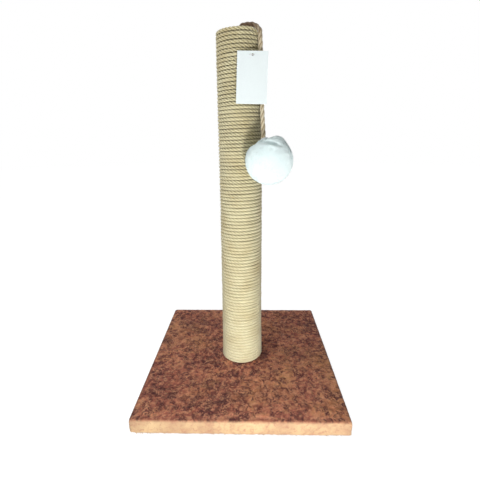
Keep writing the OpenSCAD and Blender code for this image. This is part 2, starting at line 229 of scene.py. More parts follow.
def rope_profile():
    """Angle, radius share and depth round a rope of three strands pressed together.

    Each strand is an arc of radius 0.52 about a centre 0.48 out, d the angle from the strand's middle:
    r(d) = 0.48 cos d + sqrt(0.52^2 - 0.48^2 sin^2 d). Depth is 0 in the groove and 1 on the crest.
    """
    d = np.tile(STRAND_ANGLES, 3)
    angle = d + np.repeat(np.arange(3), len(STRAND_ANGLES)) * 2 * np.pi / 3
    radius = STRAND_OUT * np.cos(d) + np.sqrt(STRAND_R ** 2 - (STRAND_OUT * np.sin(d)) ** 2)
    return angle, radius, (radius - radius.min()) / (radius.max() - radius.min())


def rope(name, centre, across, s, diameter, lay, relief=RELIEF, swell=1.0):
    """A laid rope along the centre line: the three-strand profile turns once in each lay.

    Point (i, j) = centre_i + r_ij (cos(a_j + 2 pi s_i / lay) A_i + sin(...) B_i), where A and B stand
    square to the line and A x B points along it. across is a direction near A. relief, the depth of the
    grooves, and swell, the girth, are one number or one for each point of the line. The attribute crest
    is 0 in a groove between strands and 1 on a strand; out is cos of the angle from A, which is 0 where
    one turn of a winding lies on the next.
    """
    angle, radius, depth = rope_profile()
    ahead = unit(np.gradient(centre, axis=0))
    b = unit(np.cross(ahead, across))
    a = np.cross(b, ahead)
    turn = angle[None, :] + (2 * np.pi * s / lay)[:, None]
    relief = np.broadcast_to(relief, s.shape)[:, None]
    size = diameter / 2 * (1 - relief * (1 - radius[None, :])) * np.broadcast_to(swell, s.shape)[:, None]
    depth = 1 - (1 - depth[None, :]) * np.clip(relief / RELIEF, 0, 1)
    spokes = np.cos(turn)[..., None] * a[:, None] + np.sin(turn)[..., None] * b[:, None]
    points = centre[:, None] + size[..., None] * spokes
    rows, columns = turn.shape
    quads = grid_faces(rows, columns, True)
    row = quads[:, 0] // columns
    column = quads[:, 0] % columns
    u = np.stack((s[row], s[row], s[row + 1], s[row + 1]), 1) / lay
    v = np.stack((column, column + 1, column + 1, column), 1) / columns
    caps = end_caps(rows, columns)
    return make_mesh(
        name, np.vstack((points.reshape(-1, 3), centre[:1], centre[-1:])), [quads, caps],
        uv=[np.stack((u, v), -1), np.zeros((len(caps), 3, 2))],
        values={
            "crest": np.append(depth.ravel(), (0.3, 0.3)),
            "out": np.append(np.cos(turn).ravel(), (0, 0))})


LOCK_POINTS = 7


def locks(name, roots, normals, lean, length, width, seed, shade=None):
    """Locks of pile: each is a closed three-sided spike of seven points: base, waist and tip.

    Waist = root + 0.55 length unit(normal + 0.35 lean), tip = waist + 0.5 length unit(0.7 normal + 1.1 lean).
    The waist is 0.72 as wide as the base, and the length varies by 30 % either way.
    """
    rng = np.random.default_rng(seed)
    n = len(roots)
    length = (np.broadcast_to(length, n) * (0.7 + 0.6 * rng.random(n)))[:, None]
    side = unit(np.cross(normals, rng.normal(size=(n, 3))))
    other = np.cross(normals, side)
    corners = np.radians((0, 120, 240))
    ring = np.cos(corners)[None, :, None] * side[:, None] + np.sin(corners)[None, :, None] * other[:, None]
    base = roots[:, None] + ring * width / 2
    waist = roots + length * 0.55 * unit(normals + lean * 0.35)
    middle = waist[:, None] + ring * width * 0.36
    tip = waist + length * 0.5 * unit(normals * 0.7 + lean * 1.1)
    points = np.concatenate((base, middle, tip[:, None]), 1).reshape(-1, 3)
    k = np.arange(n, dtype=np.int32)[:, None, None] * LOCK_POINTS
    quads = (k + np.array([[0, 1, 4, 3], [1, 2, 5, 4], [2, 0, 3, 5]])).reshape(-1, 4)
    spikes = (k + np.array([[3, 4, 6], [4, 5, 6], [5, 3, 6], [0, 2, 1]])).reshape(-1, 3)
    tone = rng.random(n) if shade is None else shade
    # tip is 0 at a lock's root and 1 at its tip; the plush finishes paint shade at the roots by it.
    return make_mesh(name, points, [quads, spikes], values={
        "tip": np.tile((0, 0, 0, 0.6, 0.6, 0.6, 1.0), n), "tone": np.repeat(tone, LOCK_POINTS)})


# Sizes, in metres, as the solids have them

BASE_W = 350 * MM
BASE_T = 26 * MM
WRAP_R = 4 * MM
HEM_W = 34 * MM
ROPE_D = 6 * MM
PITCH = 6.06 * MM
WIND_R = (32.05 / np.cos(np.radians(7.5)) + 3) * MM  # 24 straight runs a turn just clear the tube
WIND_TOP = 619 * MM
WIND_TURNS = 97 + 215 / 360
WIND_FOOT = WIND_TOP - WIND_TURNS * PITCH
TOY_D = 7 * MM
LAY = 20 * MM
TOY_LAY = 32 * MM
BALL_R = 39.5 * MM
BALL_OUT, BALL_TURN = 78.23, np.radians(-52.2)
BALL_AT = np.array((BALL_OUT * np.cos(BALL_TURN), BALL_OUT * np.sin(BALL_TURN), 419.0)) * MM
NECK_LEAN, NECK_TURN = np.radians(18), np.radians(134)
NECK = direction(NECK_LEAN, NECK_TURN)
ROUTE_TOP = np.array((
    (0, 0, 603.7), (0, 0, 611), (0, 0, 619), (0.3, -0.3, 624), (1.7, -1.3, 628.5), (4.4, -3.3, 631),
    (8.1, -6.1, 632), (13, -9.9, 632), (17.9, -13.6, 631), (22.5, -17, 629), (26.5, -20.1, 626.2),
    (29.2, -22.1, 623.6), (31.3, -23.7, 620.9), (32.9, -24.9, 618.2), (33.8, -25.6, 616),
    (33.8, -25.6, 613.8))) * MM
ROUTE_UPPER = np.array((
    (33.8, -25.6, 610), (34.3, -27.9, 597), (34.8, -30.5, 582), (35.4, -33.4, 566),
    (36, -36.2, 550), (36.6, -39, 534), (37.2, -41.8, 518), (37.8, -44.8, 501))) * MM
ROUTE_LOWER = np.array((
    (38, -45.5, 497), (38.5, -48, 483), (39, -50.3, 470), (39.3, -52, 460),
    (39.7, -53.3, 455.4), (40.3, -53.9, 453), (40.9, -54.5, 450.4))) * MM


# The toy's rope, one line through all three routes, cut behind the tag

KNOT_W, KNOT_H = 14 * MM, 12 * MM
KNOT_ROPE_D, KNOT_LAY = 4.6 * MM, 14 * MM


def knot(name, centre, axis):
    """An overhand knot pulled tight: the trefoil (sin t + 2 sin 2t, cos t - 2 cos 2t, -sin 3t), flattened."""
    t = np.linspace(0, 2 * np.pi, 121)
    x, y, z = np.sin(t) + 2 * np.sin(2 * t), np.cos(t) - 2 * np.cos(2 * t), -np.sin(3 * t)
    side = unit(np.cross(axis, (0.3, 0.9, 0.1)))
    other = np.cross(axis, side)
    reach, rise = (KNOT_W - KNOT_ROPE_D) / 2 / 3.0, (KNOT_H - 4.8 * MM) / 2
    line = centre + reach * (x[:, None] * side + y[:, None] * other) + (z * rise)[:, None] * axis
    return rope(name, line, axis + 0.01 * side, lengths_along(line), KNOT_ROPE_D, KNOT_LAY)


head_knot = knot("knot_under_plug", np.array((0, 0, 597.7 * MM)), np.array((0, 0, 1.0)))
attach(head_knot, "post")
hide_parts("head_knot")
ball_knot = knot("knot_in_ball", BALL_AT + NECK * 26.9 * MM, NECK)
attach(ball_knot, "drop")
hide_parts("ball_knot")


def toy_ropes():
    """One laid rope in two pieces that share a ring: over the rim, and down to the ball.

    It sags 1.4 mm between plug and rim and bows 0.9 mm towards the post two thirds of the way down, each a
    Gaussian. Its girth varies by 3 % either way, swells by 10 % where it lies against the top turns and
    shrinks by 4 % above them.
    """
    line, s = smooth_path(np.vstack((ROUTE_TOP[:-1], ROUTE_UPPER[:-1], ROUTE_LOWER)), 1.1 * MM)
    over = line[:, 2] > 624 * MM
    line[:, 2] -= np.where(over, 1.4 * MM * bell(line[:, 0], 15 * MM, 9 * MM), 0)
    line[:, 0] -= 0.9 * MM * bell(line[:, 2], 505 * MM, 40 * MM)
    across = np.array((np.sin(np.radians(37)), np.cos(np.radians(37)), 0.0))  # square to the way over the rim
    press = bell(line[:, 2], 606 * MM, 16 * MM) * (line[:, 0] > 20 * MM)
    swell = 1 + 0.06 * (line_noise(s, 9 * MM, 5) - 0.5) + 0.10 * press
    swell -= 0.04 * np.clip((line[:, 2] - 618 * MM) / (8 * MM), 0, 1)
    cut = int(np.argmin(np.abs(line[:, 2] - 560 * MM) + (np.abs(line[:, 0]) < 20 * MM)))
    first, second = slice(0, cut + 1), slice(cut, None)
    upper, lower = (
        rope(name, line[part], across, s[part], TOY_D * 1.04, TOY_LAY, swell=swell[part])
        for name, part in (("toy_rope_over_rim", first), ("toy_rope_to_ball", second)))
    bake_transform(upper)
    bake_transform(lower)
    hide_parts("toy_rope_top", "toy_rope_upper")
    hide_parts("toy_rope_lower")
    return upper, lower


toy_upper, toy_lower = toy_ropes()


# The winding

def winding():
    """The rope round the post, one helix from the base to the rim in two pieces that share a ring.

    Centre line (R cos a, R sin a, z0 + pitch a / 2 pi), with a slow wander of up to 0.18 mm up and down.
    Near the rim the side towards -X rides up by 1.6 mm, fading by e in every 45 mm down the post, as the
    last turns were pulled level; the last 11 mm run on past the last turn and sink, tucked in beside the
    toy's rope. The first turns are laid looser, R growing by 1.4 mm at the base, and below the tag the
    turns sit 1.2 mm towards +X. The girth varies by noise in two sizes and is 8 % more at the base, where
    the strands show least; they show most at the rim.
    """
    round_len = np.hypot(2 * np.pi * WIND_R, PITCH)
    wound, tail = WIND_TURNS * round_len, 11 * MM
    s = np.linspace(0, wound + tail, int(wound / (2.2 * MM)))
    a = s / round_len * 2 * np.pi
    turn = a + np.radians(90)
    wander = (line_noise(s, 45 * MM, 11) - 0.5) * 0.35 * MM
    swell = 1 + 0.10 * (line_noise(s, 30 * MM, 12) - 0.5) + 0.05 * (line_noise(s, 7 * MM, 13) - 0.5)
    radius = WIND_R + (line_noise(s, 60 * MM, 14) - 0.6) * 0.4 * MM
    sink = np.clip((s - wound + 4 * MM) / (tail + 4 * MM), 0, 1) ** 2 * 3.2 * MM
    height = WIND_FOOT + PITCH * a / 2 / np.pi + wander - sink
    pulled_side = np.clip(-np.cos(turn + 0.3), 0, 1) ** 1.5
    height = height + 1.6 * MM * pulled_side * np.exp((height - WIND_TOP) / (45 * MM))
    radius = radius + 1.4 * MM * np.exp(-(height - BASE_T) / (60 * MM))
    aside = 1.2 * MM * np.clip((540 * MM - height) / (180 * MM), 0, 1)
    line = np.stack((radius * np.cos(turn) + aside, radius * np.sin(turn), height), 1)
    outward = level_direction(turn)
    upward = np.clip(height / WIND_TOP, 0, 1)
    relief = (0.05 + 0.65 * upward) * (0.55 + 0.9 * line_noise(s, 38 * MM, 15))
    swell = swell + 0.08 * (1 - upward)
    cut = len(s) // 2
    made = []
    for name, part in (("rope_turns_lower", slice(0, cut + 1)), ("rope_turns_upper", slice(cut, None))):
        piece = rope(name, line[part], outward[part], s[part], ROPE_D * 1.03, LAY, relief[part], swell[part])
        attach(piece, "post")
        made.append(piece)
    return made


turns_lower, turns_upper = winding()
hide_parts("rope_sleeve")
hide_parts("rope_winding")


def loose_fibres(name, count, seed):
    """Stray hairs of the sisal: thin bent spikes at (R cos a, R sin a, z), a and z drawn evenly.

    They lean along the turns and up or down by normal draws, so most lie at a low angle.
    """
    rng = np.random.default_rng(seed)
    a = rng.random(count) * 2 * np.pi
    z = WIND_FOOT + rng.random(count) * (WIND_TOP - WIND_FOOT)
    out = level_direction(a)
    tangent = np.stack((-np.sin(a), np.cos(a), 0 * a), 1)
    roots = out * (WIND_R + ROPE_D * 0.42) + np.stack((0 * a, 0 * a, z), 1)
    lean = tangent * rng.normal(0, 1.6, (count, 1))
    lean = lean + np.array((0, 0, 1.0)) * rng.normal(0, 0.9, (count, 1))
    piece = locks(name, roots, unit(out + 0.6 * lean), lean, 3.2 * MM, 0.16 * MM, seed)
    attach(piece, "post")
    return piece


stray = loose_fibres("rope_stray_fibres", 5200, 21)


# The plush of the base

TOP_FLAT = BASE_W / 2 - WRAP_R
ARC = np.pi / 2 * WRAP_R
SIDE = BASE_T - 2 * WRAP_R
STATIONS = np.cumsum((0, TOP_FLAT, ARC, SIDE, ARC, HEM_W - WRAP_R, WRAP_R))


def base_skin(a, b):
    """Place and normal on the wrapped sheet for a, b in [-1, 1].

    m = max(|a|, |b|) runs from the middle of the top, round the edge, down the side, round the foot, along
    the margin and up its cut edge; half is the square's half width there, and (a, b) / m gives the place
    round that square, whose corners are rounded by the radius of the bends.
    """
    least = 1e-9
    m = np.maximum(np.maximum(np.abs(a), np.abs(b)), least)
    length = m * STATIONS[-1]
    top, arc1, side, arc2, hem, lip = (
        np.clip(length - STATIONS[i], 0, STATIONS[i + 1] - STATIONS[i]) for i in range(6))
    bend1, bend2 = arc1 / WRAP_R, arc2 / WRAP_R
    half = top + WRAP_R * np.sin(bend1) - WRAP_R * (1 - np.cos(bend2)) - hem
    z = BASE_T - WRAP_R * (1 - np.cos(bend1)) - side - WRAP_R * np.sin(bend2) + lip
    tilt = bend1 + bend2 - lip / WRAP_R * np.pi / 2
    corner = np.minimum(WRAP_R, half)
    qa, qb = a / m * half, b / m * half
    inner = half - corner
    ia, ib = np.clip(qa, -inner, inner), np.clip(qb, -inner, inner)
    da, db = qa - ia, qb - ib
    past_a, past_b = np.abs(da) > least, np.abs(db) > least
    reach = np.where(past_a & past_b, corner / np.maximum(np.hypot(da, db), least), 1.0)
    out = unit(np.stack((np.where(past_a, da, 0), np.where(past_b, db, 0)), -1) + 1e-12)
    normal = np.stack((out[..., 0] * np.sin(tilt), out[..., 1] * np.sin(tilt), np.cos(tilt)), -1)
    return np.stack((ia + da * reach, ib + db * reach, z), -1), unit(normal), length


def pile_level(p):
    """How the pile lies in tufts, 1 on a ridge: 1 - |2 noise - 1| in two sizes, 0.55 and 0.45 of each."""
    ridge = 1 - np.abs(2 * noise(p, 9 * MM, 31) - 1)
    fine = 1 - np.abs(2 * noise(p, 3.6 * MM, 32) - 1)
    return 0.55 * ridge + 0.45 * fine


def pile_height(p):
    """Height of the tufts about the sheet's mean surface: 1.8 mm (level - 0.75)."""
    return (pile_level(p) - 0.75) * 1.8 * MM


def over_bend(length):
    """1 half way round the top bend, falling off to both sides by e in 7 mm."""
    return bell(length - STATIONS[1], ARC / 2, 7 * MM)


def edge_fill(p, normal):
    """How far the pile pushes out past the backing, filling the rounds at top, foot and corners.

    Both bends have radius w = 4 mm; the push is 0.26 w along the normal where it points half up, 0.36 w
    at the upright corners, up to 2.2 mm outwards at the foot, where the pile is pressed against the floor,
    and more over the front: 1.4 mm all over and another 1.2 mm at its foot.
    """
    level = np.hypot(normal[:, 0], normal[:, 1])
    bend = 4 * level ** 2 * normal[:, 2] ** 2 * (p[:, 2] > 3 * MM)
    corner = 4 * (normal[:, 0] * normal[:, 1]) ** 2 * level ** 2
    low = np.clip((WRAP_R - p[:, 2]) / WRAP_R, 0, 1)
    foot = low * level ** 0.5 * np.clip(1.2 - np.abs(normal[:, 2]), 0, 1)
    front = np.clip(-normal[:, 1], 0, 1) ** 2
    along_normal = (0.26 * bend + 0.36 * corner) * WRAP_R
    outwards = foot * (2.2 + 1.2 * front) * MM + 1.4 * MM * front
    flat = np.stack((normal[:, 0], normal[:, 1], 0 * level), 1)
    return normal * along_normal[:, None] + unit(flat) * outwards[:, None]


def bend_shades(skin, length):
    """How far each place takes the paler colour of the sides, partly painted light, and how far painted shade
    darkens it.

    The painted shade lies over the top bend, until the pale side begins 1.2 mm below the top, and along the
    foot as a painted shadow where the sheet meets the floor.
    """
    side = np.clip((BASE_T - 1.2 * MM - skin[:, 2]) / (1.4 * MM), 0, 1)
    painted_edge_shade = np.clip((length - STATIONS[1] + 0.5 * MM) / (3 * MM), 0, 1) * (1 - side)
    # Painted shadow along the foot, where the sheet meets the floor.
    foot = np.clip((2.2 * MM - skin[:, 2]) / (1.6 * MM), 0, 1) * (length < STATIONS[4])
    return side, np.maximum(0.75 * painted_edge_shade, 0.55 * foot)


def base_plush():
    """The sheet of plush as one skin on a square grid: place + normal x pile height + the fill at the bends.

    The tufts are lower over the top bend, only sink below 3 mm, are a quarter as deep underneath and none
    at the sheet's cut edge. Underneath, the mitre at each corner is drawn in by 2 mm, where the folds meet.
    """
    n = 236
    t = np.linspace(-1, 1, n)
    a, b = flat_grid(t, t)
    p, normal, length = base_skin(a, b)
    side, painted_edge_shade = bend_shades(p, length)
    amount = np.clip((STATIONS[5] - length) / (6 * MM), 0, 1) * np.where(p[:, 2] < 1 * MM, 0.25, 1)
    amount = amount * (1 - 0.6 * over_bend(length))
    lift = pile_height(p)
    lift = np.where(p[:, 2] < 3 * MM, np.minimum(lift, 0), lift)
    p = p + normal * (lift * amount)[:, None]
    p = p + edge_fill(p, normal)
    mitre_w = 1.6 * MM
    off_mitre = np.abs(np.abs(p[:, 0]) - np.abs(p[:, 1]))
    under = (normal[:, 2] < -0.9) & (off_mitre < mitre_w)
    p[:, 2] += np.where(under, 2.0 * MM * (1 - off_mitre / mitre_w), 0)
    p[:, 2] = np.maximum(p[:, 2], 0)
    # tip paints shade low between the tufts; side gives the paler sides, partly painted light;
    # painted_edge_shade is painted shade at the bend and foot.
    piece = make_mesh("base_plush", p, grid_faces(n, n, False)[:, ::-1], values={
        "tip": 0.2 + 0.5 * pile_level(p), "tone": noise(p, 5 * MM, 33), "side": side, "painted_edge_shade": painted_edge_shade})
    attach(piece, "post")
    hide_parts("base_cover")
    return piece


base_cloth = base_plush()


def base_locks(name, count, seed):
    """Locks of pile over the top and the sides, clear of the post, leaning along swirls of noise.

    On the top they lie along (cos w, sin w), w a sum of two noises; on the sides they hang down. They are
    3 mm long on the top, 1.7 mm on the sides and shorter over the bend between.
    """
    rng = np.random.default_rng(seed)
    reach = STATIONS[4] / STATIONS[-1]
    top_share = TOP_FLAT / STATIONS[-1]
    a, b = rng.uniform(-1, 1, count) * reach, rng.uniform(-1, 1, count) * reach
    m = np.maximum(np.abs(a), np.abs(b))
    keep = (m < top_share) | (rng.random(count) < 0.9)
    a, b = a[keep], b[keep]
    p, normal, length = base_skin(a, b)
    post_r = 37.5 * MM
    clear = np.hypot(p[:, 0], p[:, 1]) > post_r
    p, normal, length = p[clear], normal[clear], length[clear]
    short = 1 - 0.65 * over_bend(length)
    swirl = 2 * np.pi * (noise(p, 26 * MM, 41) * 1.6 + noise(p, 8 * MM, 42) * 0.5)
    flow = level_direction(swirl)
    flow = flow - normal * np.sum(flow * normal, 1, keepdims=True)
    flat = np.abs(normal[:, 2]) < 0.5
    flow = np.where(flat[:, None], flow * 0.4 + np.array((0, 0, -0.9)), flow)
    roots = p + normal * (pile_height(p) - 0.9 * MM)[:, None] + edge_fill(p, normal)
    tone = np.clip(noise(p, 5 * MM, 33) + rng.normal(0, 0.14, len(p)), 0, 1)
    lean = flow * 1.5 + rng.normal(0, 0.25, p.shape)
    tall = np.where(flat, 1.7, 3.0) * MM * short
    piece = locks(name, roots, normal, lean, tall, 1.1 * MM, seed, shade=tone)
    co = np.empty(len(piece.data.vertices) * 3, np.float32)
    piece.data.vertices.foreach_get("co", co)
    co[2::3] = np.maximum(co[2::3], 0.6 * MM)
    piece.data.vertices.foreach_set("co", co)
    for key, share in zip(("side", "painted_edge_shade"), bend_shades(p, length)):
        set_values(piece.data, key, np.repeat(share, LOCK_POINTS))
    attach(piece, "post")
    return piece


pile_one = base_locks("base_pile_first", 20000, 51)
pile_two = base_locks("base_pile_second", 20000, 52)


# The ball

def ball_turned(points):
    """Directions about the neck axis +Z, turned as the ball hangs: leaned about Y, then turned about Z."""
    cy, sy = np.cos(NECK_LEAN), np.sin(NECK_LEAN)
    cz, sz = np.cos(NECK_TURN), np.sin(NECK_TURN)
    lean = np.array(((cy, 0, sy), (0, 1, 0), (-sy, 0, cy)))
    turn = np.array(((cz, -sz, 0), (sz, cz, 0), (0, 0, 1)))
    return points @ (turn @ lean).T


def in_ball(points):
    """Points about the ball's own neck axis, turned and moved to the ball's place."""
    return ball_turned(points) + BALL_AT


FOLD_ACROSS = np.array((0.206, 0.46, 0.864))
FOLD_OUT = 0.36


def ball_surface(theta, phi):
    """Radius of the ball at theta from its neck and phi round it.

    R - 1.8 - 4.5 exp(-(theta / 0.3)^2) is a dimple at the neck, in millimetres. A hollow lies on its left
    and a swelling on its right, each a Gaussian in theta times a cosine of phi; a crease runs from it
    between the two, a Gaussian in both. A fold parts the front from the swelling where
    d . FOLD_ACROSS = FOLD_OUT, d the direction outwards.
    """
    def facing(centre):
        return np.clip(np.cos(phi - np.radians(centre)), 0, 1)

    dimple = 4.5 * bell(theta, 0, 0.3)
    hollow = 4.6 * bell(theta, 0.52, 0.22) * facing(75)
    lobe = 3.2 * bell(theta, 0.72, 0.24) * facing(205)
    off = (np.mod(phi - np.radians(168) + np.pi, 2 * np.pi) - np.pi) * np.sin(theta)
    crease = 8.0 * bell(off, 0, 0.11) * bell(theta, 0.38, 0.24)
    d = ball_turned(direction(theta, phi))
    above = d @ FOLD_ACROSS - FOLD_OUT
    fold = bell(d[..., 0], 0.06, 0.30) * np.clip(-3 * d[..., 1], 0, 1)
    fold = fold * (6.4 * bell(above, 0, 0.08) - 1.2 * bell(above, -0.16, 0.12))
    return BALL_R - (1.8 + dimple + hollow - lobe + crease + fold) * MM


def ball_plush():
    """The ball's skin, d r in every direction d: r is the ball's radius, gathers and fine clumps of pile.

    The gathers, 0.9 mm cos(11 phi + 2 sin 3 phi), fade away from the neck; the clumps are noise in two sizes.
    The mouth is open round the rope, and one point closes the pole across from it.
    """
    rows, columns = 149, 220
    theta = np.linspace(np.arcsin(4.3 * MM / (BALL_R - 5 * MM)), np.pi, rows + 1)[:-1]
    th, ph = flat_grid(theta, np.linspace(0, 2 * np.pi, columns, endpoint=False))
    d = direction(th, ph)
    gathers = np.cos(11 * ph + 2 * np.sin(3 * ph)) * bell(th, 0.35, 0.3) * 0.9 * MM
    clump = (noise(d * BALL_R, 6 * MM, 61) - 0.5) * 0.7 * MM
    clump += (noise(d * BALL_R, 2.2 * MM, 62) - 0.5) * 0.4 * MM
    p = d * (ball_surface(th, ph) + gathers + clump * np.clip(np.sin(th) * 4, 0, 1))[:, None]
    pole = direction(np.pi, 0) * ball_surface(np.pi, 0)
    last_row = np.arange(columns) + (rows - 1) * columns
    faces = [grid_faces(rows, columns, True)[:, ::-1], fan(len(p), np.roll(last_row, -1), last_row)]
    piece = make_mesh("ball_plush", in_ball(np.vstack((p, pole))), faces, values={
        # tip is higher on the clumps; the finish paints shade where it is low.
        "tip": np.append(0.35 + 0.5 * np.clip(clump / MM + 0.5, 0, 1), 0.5),
        "tone": np.append(noise(d, 0.2, 63), 0.5)})
    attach(piece, "drop")
    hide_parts("ball_cover")
    return piece


ball_cloth = ball_plush()


def ball_locks(name, count, seed):
    """Fine pile of the ball, spread evenly by the golden angle and combed away from the neck.

    Lock k of n stands at theta = arccos(1 - 2 k / n), phi = k times the golden angle, each moved a little.
    """
    rng = np.random.default_rng(seed)
    k = np.arange(count) + rng.random(count)
    th = np.arccos(1 - 2 * (k + 0.5) / (count + 1))
    ph = k * np.pi * (3 - np.sqrt(5)) + rng.normal(0, 0.05, count)
    keep = th > 0.16
    th, ph = th[keep], ph[keep]
    d = direction(th, ph)
    comb = np.stack((np.cos(th) * np.cos(ph), np.cos(th) * np.sin(ph), -np.sin(th)), 1)
    lean = comb * 1.1 + rng.normal(0, 0.4, d.shape) + d * bell(th, 0, 0.5)[:, None]
    roots = d * (ball_surface(th, ph) - 0.8 * MM)[:, None]
    piece = locks(name, in_ball(roots), ball_turned(d), ball_turned(lean), 2.0 * MM, 0.5 * MM, seed)
    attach(piece, "drop")
    return piece


ball_pile = ball_locks("ball_pile", 20000, 71)


def loose_filling(name, radius, seed):
    """Loose filling: a ball pushed in and out by noise, open where the knot sits.

    r = (radius - 1.2 + 1.6 (noise - 0.5)) (1 - pit) + 18.5 pit in millimetres, pit = exp(-(theta / 0.3)^4).
    """
    rows, columns = 38, 64
    theta = np.linspace(0, np.pi, rows + 2)[1:-1]
    th, ph = flat_grid(theta, np.linspace(0, 2 * np.pi, columns, endpoint=False))
    d = direction(th, ph)
    pit = np.exp(-(th / 0.30) ** 4)
    skin = radius - 1.2 * MM + (noise(d * radius, 6 * MM, seed) - 0.5) * 1.6 * MM
    r = skin * (1 - pit) + 18.5 * MM * pit
    p = np.vstack((d * r[:, None], [[0, 0, 18.4 * MM], [0, 0, -radius + 1.2 * MM]]))
    faces = [grid_faces(rows, columns, True)[:, ::-1], end_caps(rows, columns)[:, [0, 2, 1]]]
    return make_mesh(name, in_ball(p), faces)


filling = loose_filling("ball_filling", 33.1 * MM, 81)
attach(filling, "drop")
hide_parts("ball_stuffing")


def neck_collar():
    """The gathered mouth of the plush round the rope: a profile of (radius, height) turned about the neck.

    Pleats vary the radius by 1 + 0.05 cos(12 phi), less towards the lip. The last row joins the first
    inside the ball.
    """
    columns = 96
    profile = np.array((
        (8.0, 32.0), (6.0, 33.8), (5.2, 34.8), (4.75, 35.8), (5.0, 36.5), (4.7, 36.9),
        (4.2, 36.9), (3.8, 36.4), (3.75, 34.0))) * MM
    ph = np.linspace(0, 2 * np.pi, columns, endpoint=False)
    pleat = 1 + 0.05 * np.cos(12 * ph)[None, :] * np.linspace(1, 0.2, len(profile))[:, None]
    r = profile[:, :1] * pleat
    height = np.broadcast_to(profile[:, 1:], r.shape)
    p = np.stack((r * np.cos(ph), r * np.sin(ph), height), -1).reshape(-1, 3)
    round_and_back = grid_faces(len(profile) + 1, columns, True) % len(p)
    piece = make_mesh("ball_neck_collar", in_ball(p), round_and_back)
    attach(piece, "drop")
    return piece


collar = neck_collar()


def tie():
    """Three turns of thread round the collar: an eight-sided tube along a helix.

    Centre line (R cos t, R sin t, h), h rising by 1.5 mm in all.
    """
    t = np.linspace(0, 3 * 2 * np.pi, 200)
    radius, thread_r = 5.35 * MM, 0.45 * MM
    line = np.stack((radius * np.cos(t), radius * np.sin(t), 35.9 * MM + (t / t[-1] - 0.5) * 1.5 * MM), 1)
    outward = level_direction(t)
    ahead = unit(np.gradient(line, axis=0))
    b = unit(np.cross(ahead, outward))
    k = np.radians(np.arange(0, 360, 45))[None, :, None]
    p = line[:, None] + thread_r * (np.cos(k) * outward[:, None] + np.sin(k) * b[:, None])
    rows, columns = p.shape[:2]
    points = np.vstack((p.reshape(-1, 3), line[:1], line[-1:]))
    faces = [grid_faces(rows, columns, True), end_caps(rows, columns)]
    piece = make_mesh("ball_neck_thread", in_ball(points), faces)
    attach(piece, "drop")
    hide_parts("ball_tie")
    return piece


thread = tie()


# Materials

def node_maker(tree):
    """A function that adds a shader node: links by input, in_NAME for an input's constant, else a setting."""
    def add(kind, links=(), **settings):
        node = tree.nodes.new("ShaderNode" + kind)
        for key, value in settings.items():
            if key.startswith("in_"):
                node.inputs[key[3:].replace("_", " ")].default_value = value
            else:
                setattr(node, key, value)
        for socket, source in dict(links).items():
            tree.links.new(source, node.inputs[socket])
        return node

    return add


def shader(name, roughness, sheen=0.0, metallic=0.0, **sockets):
    """A principled material; returns it with its shader node and a maker of more nodes."""
    material = bpy.data.materials.new(name)
    material.use_nodes = True
    tree = material.node_tree
    body = tree.nodes["Principled BSDF"]
    body.inputs["Roughness"].default_value = roughness
    body.inputs["Metallic"].default_value = metallic
    body.inputs["Sheen Weight"].default_value = sheen
    for key, value in sockets.items():
        body.inputs[key.replace("_", " ")].default_value = value
    return material, body, node_maker(tree)


def feed(node, key, value):
    """Links a socket to the node's input of that name or number, or sets the input's constant."""
    if isinstance(value, bpy.types.NodeSocket):
        node.id_data.links.new(value, node.inputs[key])
    else:
        node.inputs[key].default_value = value


def ramp(add, source, stops):
    """A colour ramp from (place, (r, g, b)) stops."""
    node = add("ValToRGB", {"Fac": source})
    while len(node.color_ramp.elements) < len(stops):
        node.color_ramp.elements.new(0.5)
    for element, (place, colour) in zip(node.color_ramp.elements, stops):
        element.position = place
        element.color = (*colour, 1)
    return node.outputs["Color"]


def mix(add, amount, low, high, mode="MIX"):
    """Colour mix by the amount; low and high are sockets or (r, g, b)."""
    node = add("Mix", data_type="RGBA", blend_type=mode)
    for index, value in ((0, amount), (6, low), (7, high)):
        feed(node, index, (*value, 1) if isinstance(value, tuple) else value)
    return node.outputs[2]


def combine(add, operation, *values):
    """The result of arithmetic on values, which are sockets or constants."""
    node = add("Math", operation=operation)
    for index, value in enumerate(values):
        feed(node, index, value)
    return node.outputs[0]


def ramp_value(add, source, low, high, start=0.0, end=1.0):
    """The source from low to high mapped to start to end, clamped."""
    return add("MapRange", {"Value": source}, in_From_Min=low, in_From_Max=high,
               in_To_Min=start, in_To_Max=end).outputs["Result"]


def grain(add, vector, scale, detail, **more):
    """Noise from 0 to 1 at the vector, scale cells to the metre; more sets the node's other inputs."""
    return add("TexNoise", {"Vector": vector}, in_Scale=scale, in_Detail=detail, **more).outputs["Fac"]


def attribute(add, name):
    """The float attribute of that name."""
    return add("Attribute", attribute_name=name).outputs["Fac"]


def bump(body, add, height, strength, distance):
    """Bump from a height socket."""
    node = add("Bump", {"Height": height}, in_Strength=strength, in_Distance=distance)
    feed(body, "Normal", node.outputs["Normal"])


ROPE_PATCH = (0.86, 0.80, 0.71)


